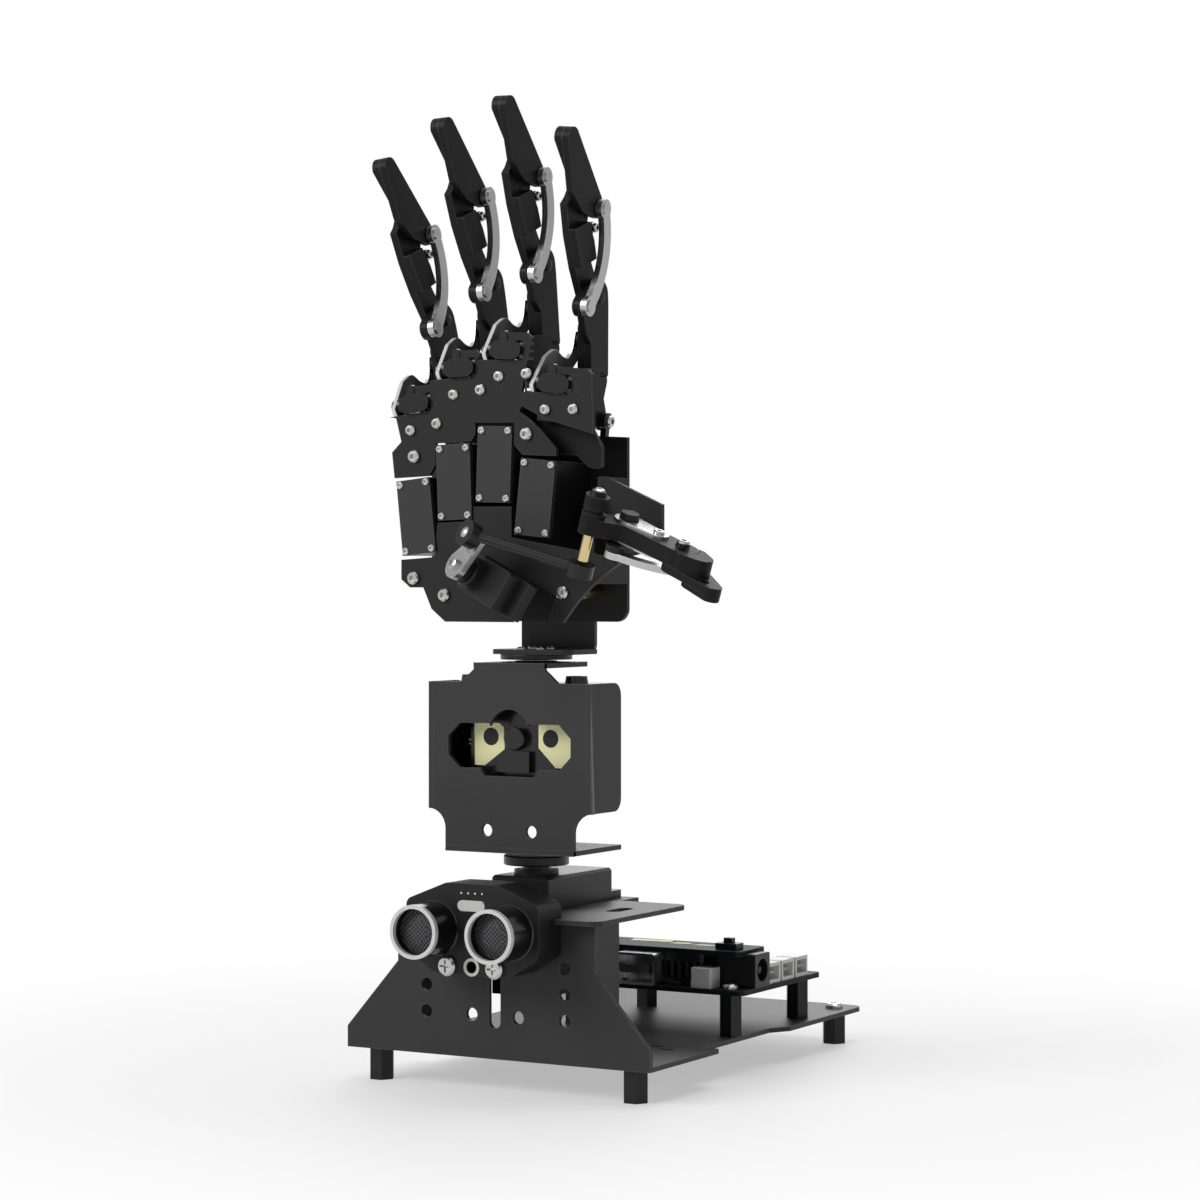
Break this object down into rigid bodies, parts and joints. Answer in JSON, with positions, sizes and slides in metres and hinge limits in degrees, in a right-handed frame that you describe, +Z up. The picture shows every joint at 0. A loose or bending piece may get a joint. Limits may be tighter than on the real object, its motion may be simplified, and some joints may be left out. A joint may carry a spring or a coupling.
{
  "type": "robotic hand",
  "caption": "Robotic hand with linked fingers and a thumb on a turning forearm bracket, over a sheet metal stand with a distance sensor and circuit boards.",
  "frame": {"origin": "centre of the four foot posts' lower ends, on the surface the stand rests on", "axes": "+Z up along the forearm, +X to the right seen from the palm side, the palm and the sensor face -Y"},
  "size_m": [0.1329, 0.176, 0.2991],
  "materials": {
    "black_sheet": "matte black powder coat",
    "black_plastic": "satin moulded",
    "silver": "brushed",
    "steel": "turned",
    "brass": "bright turned",
    "white_plastic": "satin",
    "board": "dark solder mask",
    "black_rubber": "satin nylon"
  },
  "bodies": {
    "base": {"base_plate": "black_sheet", "feet": "black_rubber", "board_standoffs": "black_rubber", "servo_deck": "black_sheet", "base_servo": "black_plastic", "sensor_housing": "black_plastic", "sensor_barrels": "silver", "sensor_rings": "white_plastic", "controller_board": "board", "shield_board": "board", "usb_socket": "silver", "power_jack": "black_plastic", "servo_sockets": "white_plastic", "base_screws": "steel"},
    "forearm": {"base_horn": "black_plastic", "forearm_bracket": "black_sheet", "wrist_servo": "black_plastic"},
    "hand": {"wrist_horn": "silver", "wrist_bracket": "black_sheet", "palm_front_plate": "black_sheet", "palm_lower_plate": "black_sheet", "palm_back_plate": "black_sheet", "palm_spacers": "brass", "finger_servos": "black_plastic", "servo_covers": "black_plastic", "knuckle_blocks": "black_plastic", "hand_screws": "steel", "thumb_servo": "black_plastic", "thumb_bracket": "black_sheet"},
    "pinky_proximal_body": {"pinky_proximal": "black_plastic"},
    "pinky_middle_body": {"pinky_middle": "black_plastic"},
    "pinky_distal_body": {"pinky_distal": "black_plastic"},
    "pinky_link_body": {"pinky_link": "silver"},
    "pinky_arm_body": {"pinky_arm": "silver"},
    "pinky_rod_body": {"pinky_rod": "black_plastic"},
    "ring_proximal_body": {"ring_proximal": "black_plastic"},
    "ring_middle_body": {"ring_middle": "black_plastic"},
    "ring_distal_body": {"ring_distal": "black_plastic"},
    "ring_link_body": {"ring_link": "silver"},
    "ring_arm_body": {"ring_arm": "silver"},
    "ring_rod_body": {"ring_rod": "black_plastic"},
    "middle_proximal_body": {"middle_proximal": "black_plastic"},
    "middle_middle_body": {"middle_middle": "black_plastic"},
    "middle_distal_body": {"middle_distal": "black_plastic"},
    "middle_link_body": {"middle_link": "silver"},
    "middle_arm_body": {"middle_arm": "silver"},
    "middle_rod_body": {"middle_rod": "black_plastic"},
    "index_proximal_body": {"index_proximal": "black_plastic"},
    "index_middle_body": {"index_middle": "black_plastic"},
    "index_distal_body": {"index_distal": "black_plastic"},
    "index_link_body": {"index_link": "silver"},
    "index_arm_body": {"index_arm": "silver"},
    "index_rod_body": {"index_rod": "black_plastic"},
    "thumb_base_body": {"thumb_base": "black_plastic", "thumb_plates": "silver", "thumb_spacer": "brass"},
    "thumb_tip_body": {"thumb_tip": "black_plastic"},
    "thumb_link_body": {"thumb_link": "silver"},
    "thumb_arm_body": {"thumb_arm": "silver"},
    "thumb_rod_body": {"thumb_rod": "black_plastic"}
  },
  "joints": [
    {"name": "base_turn", "type": "hinge", "parent": "base", "child": "forearm", "pos_m": [0, -0.0497, 0.0675], "axis": [0, 0, 1], "range_deg": [-90, 90]},
    {"name": "wrist_turn", "type": "hinge", "parent": "forearm", "child": "hand", "pos_m": [0, -0.0497, 0.1288], "axis": [0, 0, 1], "range_deg": [-90, 90]},
    {"name": "pinky_knuckle", "type": "hinge", "parent": "hand", "child": "pinky_proximal_body", "pos_m": [-0.03651, -0.063, 0.20691], "axis": [0.9945, 0, 0.1045], "range_deg": [0, 45]},
    {"name": "pinky_mid_joint", "type": "hinge", "parent": "pinky_proximal_body", "child": "pinky_middle_body", "pos_m": [-0.03938, -0.0433, 0.23426], "axis": [0.9945, 0, 0.1045], "range_deg": [0, 60.01]},
    {"name": "pinky_end_joint", "type": "hinge", "parent": "pinky_middle_body", "child": "pinky_distal_body", "pos_m": [-0.04243, -0.05569, 0.26328], "axis": [0.9945, 0, 0.1045], "range_deg": [0, 75.12]},
    {"name": "pinky_link_joint", "type": "hinge", "parent": "pinky_proximal_body", "child": "pinky_link_body", "pos_m": [-0.03625, -0.052, 0.23127], "axis": [0.9945, 0, 0.1045], "range_deg": [0, 68.81]},
    {"name": "pinky_arm_turn", "type": "hinge", "parent": "hand", "child": "pinky_arm_body", "pos_m": [-0.03347, -0.0415, 0.17807], "axis": [0, -1, 0], "range_deg": [0, 113.7]},
    {"name": "pinky_rod_joint", "type": "hinge", "parent": "pinky_arm_body", "child": "pinky_rod_body", "pos_m": [-0.02609, -0.03935, 0.169], "axis": [0, 1, 0], "range_deg": [0, 113.7]},
    {"name": "ring_knuckle", "type": "hinge", "parent": "hand", "child": "ring_proximal_body", "pos_m": [-0.0204, -0.063, 0.21748], "axis": [0.9994, 0, 0.0349], "range_deg": [0, 45]},
    {"name": "ring_mid_joint", "type": "hinge", "parent": "ring_proximal_body", "child": "ring_middle_body", "pos_m": [-0.02136, -0.0433, 0.24496], "axis": [0.9994, 0, 0.0349], "range_deg": [0, 60.01]},
    {"name": "ring_end_joint", "type": "hinge", "parent": "ring_middle_body", "child": "ring_distal_body", "pos_m": [-0.02238, -0.05569, 0.27412], "axis": [0.9994, 0, 0.0349], "range_deg": [0, 75.12]},
    {"name": "ring_link_joint", "type": "hinge", "parent": "ring_proximal_body", "child": "ring_link_body", "pos_m": [-0.01845, -0.052, 0.24176], "axis": [0.9994, 0, 0.0349], "range_deg": [0, 68.81]},
    {"name": "ring_arm_turn", "type": "hinge", "parent": "hand", "child": "ring_arm_body", "pos_m": [-0.01939, -0.0415, 0.1885], "axis": [0, -1, 0], "range_deg": [0, 113.7]},
    {"name": "ring_rod_joint", "type": "hinge", "parent": "ring_arm_body", "child": "ring_rod_body", "pos_m": [-0.01265, -0.03935, 0.17893], "axis": [0, 1, 0], "range_deg": [0, 113.7]},
    {"name": "middle_knuckle", "type": "hinge", "parent": "hand", "child": "middle_proximal_body", "pos_m": [-0.0037, -0.063, 0.22258], "axis": [0.9994, 0, -0.0349], "range_deg": [0, 45]},
    {"name": "middle_mid_joint", "type": "hinge", "parent": "middle_proximal_body", "child": "middle_middle_body", "pos_m": [-0.00274, -0.0433, 0.25006], "axis": [0.9994, 0, -0.0349], "range_deg": [0, 60.01]},
    {"name": "middle_end_joint", "type": "hinge", "parent": "middle_middle_body", "child": "middle_distal_body", "pos_m": [-0.00172, -0.05569, 0.27922], "axis": [0.9994, 0, -0.0349], "range_deg": [0, 75.12]},
    {"name": "middle_link_joint", "type": "hinge", "parent": "middle_proximal_body", "child": "middle_link_body", "pos_m": [-0.00005, -0.052, 0.24667], "axis": [0.9994, 0, -0.0349], "range_deg": [0, 68.81]},
    {"name": "middle_arm_turn", "type": "hinge", "parent": "hand", "child": "middle_arm_body", "pos_m": [-0.00471, -0.0415, 0.1936], "axis": [0, -1, 0], "range_deg": [0, 113.7]},
    {"name": "middle_rod_joint", "type": "hinge", "parent": "middle_arm_body", "child": "middle_rod_body", "pos_m": [0.00135, -0.03935, 0.18358], "axis": [0, 1, 0], "range_deg": [0, 113.7]},
    {"name": "index_knuckle", "type": "hinge", "parent": "hand", "child": "index_proximal_body", "pos_m": [0.01311, -0.063, 0.21211], "axis": [0.9945, 0, -0.1045], "range_deg": [0, 45]},
    {"name": "index_mid_joint", "type": "hinge", "parent": "index_proximal_body", "child": "index_middle_body", "pos_m": [0.01598, -0.0433, 0.23946], "axis": [0.9945, 0, -0.1045], "range_deg": [0, 60.01]},
    {"name": "index_end_joint", "type": "hinge", "parent": "index_middle_body", "child": "index_distal_body", "pos_m": [0.01903, -0.05569, 0.26848], "axis": [0.9945, 0, -0.1045], "range_deg": [0, 75.12]},
    {"name": "index_link_joint", "type": "hinge", "parent": "index_proximal_body", "child": "index_link_body", "pos_m": [0.01842, -0.052, 0.23589], "axis": [0.9945, 0, -0.1045], "range_deg": [0, 68.81]},
    {"name": "index_arm_turn", "type": "hinge", "parent": "hand", "child": "index_arm_body", "pos_m": [0.01007, -0.0415, 0.18327], "axis": [0, -1, 0], "range_deg": [0, 113.7]},
    {"name": "index_rod_joint", "type": "hinge", "parent": "index_arm_body", "child": "index_rod_body", "pos_m": [0.01542, -0.03935, 0.17286], "axis": [0, 1, 0], "range_deg": [0, 113.7]},
    {"name": "thumb_swing", "type": "hinge", "parent": "hand", "child": "thumb_base_body", "pos_m": [0.044, -0.072, 0.168], "axis": [-0.34, 0.14, -0.93], "range_deg": [0, 35]},
    {"name": "thumb_end_joint", "type": "hinge", "parent": "thumb_base_body", "child": "thumb_tip_body", "pos_m": [0.06374, -0.07555, 0.16025], "axis": [-0.34, 0.14, -0.93], "range_deg": [0, 41.37]},
    {"name": "thumb_link_joint", "type": "hinge", "parent": "hand", "child": "thumb_link_body", "pos_m": [0.04289, -0.07737, 0.16071], "axis": [-0.34, 0.14, -0.93], "range_deg": [0, 45.12]},
    {"name": "thumb_arm_turn", "type": "hinge", "parent": "hand", "child": "thumb_arm_body", "pos_m": [-0.0095, -0.08, 0.1577], "axis": [-0.3491, -0.8479, 0.399], "range_deg": [0, 19.14]},
    {"name": "thumb_rod_joint", "type": "hinge", "parent": "thumb_arm_body", "child": "thumb_rod_body", "pos_m": [-0.00338, -0.08286, 0.16675], "axis": [-0.0772, 0.9856, 0.1502], "range_deg": [0, 14.24]}
  ],
  "couplings": [
    {"joint": "pinky_mid_joint", "follows": "pinky_knuckle", "ratio": 1.3333},
    {"joint": "pinky_end_joint", "follows": "pinky_knuckle", "ratio": 1.6692},
    {"joint": "pinky_link_joint", "follows": "pinky_knuckle", "ratio": 1.5289},
    {"joint": "pinky_arm_turn", "follows": "pinky_knuckle", "ratio": 2.5264},
    {"joint": "pinky_rod_joint", "follows": "pinky_knuckle", "ratio": 2.5264},
    {"joint": "ring_mid_joint", "follows": "ring_knuckle", "ratio": 1.3333},
    {"joint": "ring_end_joint", "follows": "ring_knuckle", "ratio": 1.6692},
    {"joint": "ring_link_joint", "follows": "ring_knuckle", "ratio": 1.5289},
    {"joint": "ring_arm_turn", "follows": "ring_knuckle", "ratio": 2.5264},
    {"joint": "ring_rod_joint", "follows": "ring_knuckle", "ratio": 2.5264},
    {"joint": "middle_mid_joint", "follows": "middle_knuckle", "ratio": 1.3333},
    {"joint": "middle_end_joint", "follows": "middle_knuckle", "ratio": 1.6692},
    {"joint": "middle_link_joint", "follows": "middle_knuckle", "ratio": 1.5289},
    {"joint": "middle_arm_turn", "follows": "middle_knuckle", "ratio": 2.5264},
    {"joint": "middle_rod_joint", "follows": "middle_knuckle", "ratio": 2.5264},
    {"joint": "index_mid_joint", "follows": "index_knuckle", "ratio": 1.3333},
    {"joint": "index_end_joint", "follows": "index_knuckle", "ratio": 1.6692},
    {"joint": "index_link_joint", "follows": "index_knuckle", "ratio": 1.5289},
    {"joint": "index_arm_turn", "follows": "index_knuckle", "ratio": 2.5264},
    {"joint": "index_rod_joint", "follows": "index_knuckle", "ratio": 2.5264},
    {"joint": "thumb_end_joint", "follows": "thumb_swing", "ratio": 1.1817},
    {"joint": "thumb_link_joint", "follows": "thumb_swing", "ratio": 1.2889},
    {"joint": "thumb_arm_turn", "follows": "thumb_swing", "ratio": 0.54645},
    {"joint": "thumb_rod_joint", "follows": "thumb_swing", "ratio": 0.40663}
  ]
}
